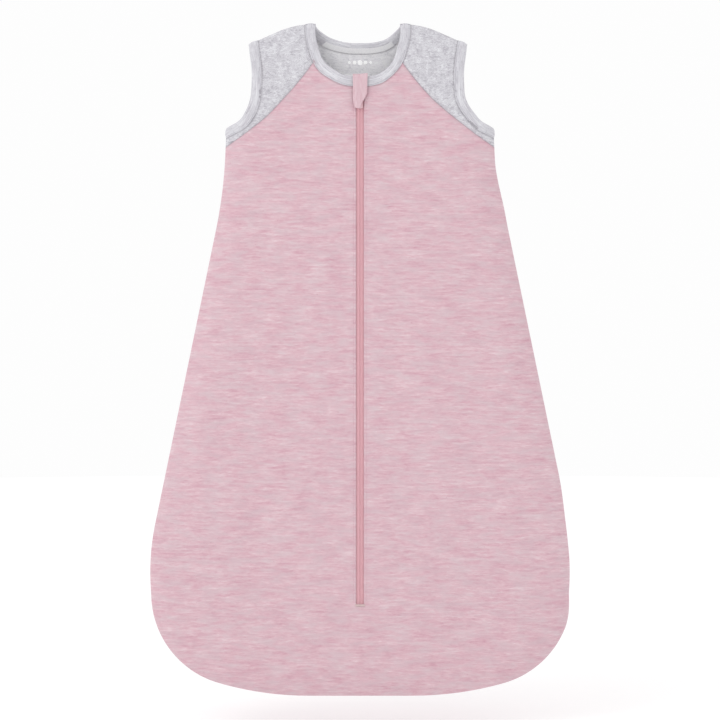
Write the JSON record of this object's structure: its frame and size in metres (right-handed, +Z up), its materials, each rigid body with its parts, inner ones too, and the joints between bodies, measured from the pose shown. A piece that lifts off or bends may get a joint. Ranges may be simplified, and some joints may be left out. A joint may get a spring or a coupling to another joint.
{
  "type": "baby sleeping bag",
  "caption": "Sleeveless bell-shaped baby sleeping bag with raglan shoulder yokes, bound neck and armholes and a centre-front zip under a folded garage.",
  "frame": {"origin": "centre of the bag at the top of its shoulders, where a hanger or hands hold it", "axes": "+Z up along the bag's length towards the neck, X across the bag, front facing -Y"},
  "size_m": [0.4374, 0.0348, 0.7006],
  "materials": {
    "pink_jersey": "brushed cotton jersey, pink heather",
    "grey_jersey": "cotton jersey, light grey heather",
    "lining_jersey": "cotton jersey, light grey heather",
    "grey_rib": "folded jersey binding, light grey heather",
    "zip_tape": "woven polyester tape, deep pink",
    "zip_plastic": "dyed polyester monofilament",
    "slider_paint": "satin enamel, pink",
    "white_tape": "woven cotton tape, white",
    "label_satin": "satin label, blank",
    "thread": "polyester sewing thread"
  },
  "bodies": {
    "bag": {"front_panel": "pink_jersey", "back_panel": "pink_jersey", "shoulder_yoke_left": "grey_jersey", "shoulder_yoke_right": "grey_jersey", "lining_front": "lining_jersey", "lining_back": "lining_jersey", "neck_binding_back": "grey_rib", "armhole_binding_left": "grey_rib", "armhole_binding_right": "grey_rib", "neck_tape": "white_tape", "care_label": "label_satin", "zip_bottom_stop": "zip_plastic", "zip_bar_tack": "thread"},
    "front_flap_left": {"front_flap_left": "pink_jersey", "lining_flap_left": "lining_jersey", "neck_binding_left": "grey_rib", "zip_tape_left": "zip_tape", "zip_coil_left": "zip_plastic", "zip_top_stop_left": "zip_plastic", "zip_guard": "lining_jersey", "garage_anchor": "pink_jersey"},
    "front_flap_right": {"front_flap_right": "pink_jersey", "lining_flap_right": "lining_jersey", "neck_binding_right": "grey_rib", "zip_tape_right": "zip_tape", "zip_coil_right": "zip_plastic", "zip_top_stop_right": "zip_plastic"},
    "slider": {"slider_body": "slider_paint", "slider_crown": "slider_paint"},
    "pull": {"zip_pull": "slider_paint"},
    "garage": {"zip_garage": "pink_jersey"}
  },
  "joints": [
    {"name": "zip_slide", "type": "slide", "parent": "bag", "child": "slider", "axis": [0, 0, -1], "range_m": [0, 0.5]},
    {"name": "front_fold_left", "type": "hinge", "parent": "bag", "child": "front_flap_left", "pos_m": [-0.0475, -0.016, -0.03], "axis": [0.0826, 0, -0.9966], "range_deg": [0, 160], "deforming": ["zip_tape_left", "zip_coil_left", "zip_guard"]},
    {"name": "front_fold_right", "type": "hinge", "parent": "bag", "child": "front_flap_right", "pos_m": [0.0475, -0.016, -0.03], "axis": [0.0826, 0, 0.9966], "range_deg": [0, 160], "deforming": ["zip_tape_right", "zip_coil_right"]},
    {"name": "garage_fold", "type": "hinge", "parent": "front_flap_left", "child": "garage", "pos_m": [0, -0.0186, -0.0503], "axis": [-1, 0, 0], "range_deg": [0, 165]},
    {"name": "pull_swing", "type": "hinge", "parent": "slider", "child": "pull", "pos_m": [0, -0.0152, -0.073], "axis": [-1, 0, 0], "range_deg": [0, 130]}
  ],
  "couplings": [
    {"joint": "front_fold_left", "follows": "zip_slide", "rad_per_m": 5.58},
    {"joint": "front_fold_right", "follows": "zip_slide", "rad_per_m": 5.58},
    {"joint": "garage_fold", "follows": "pull_swing", "ratio": 1.26}
  ]
}
